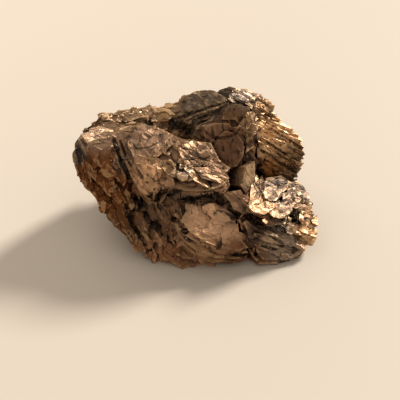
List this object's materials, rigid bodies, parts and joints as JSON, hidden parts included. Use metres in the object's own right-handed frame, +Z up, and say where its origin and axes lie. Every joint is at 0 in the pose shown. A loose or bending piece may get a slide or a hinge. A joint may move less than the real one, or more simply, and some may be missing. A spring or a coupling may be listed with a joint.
{
  "type": "rough bronzite specimen",
  "caption": "Rough, cleaved lump of bronzite: a domed plate of cleavage sheets, a blocky crown, a ledged wing and a flat break to rest on.",
  "frame": {"origin": "middle of the lump's box, at the level of the flat break that it rests on", "axes": "+X along the lump's longest extent, from the broad shoulder towards the fibrous wing; +Z up, across its shortest extent; -Y towards the side with the domed plate"},
  "size_m": [0.0888, 0.0622, 0.0415],
  "materials": {
    "bronzite": "rough cleaved faces with a bronze, half-metallic sheen"
  },
  "bodies": {
    "root": {"bronzite_lump": "bronzite"}
  },
  "joints": []
}
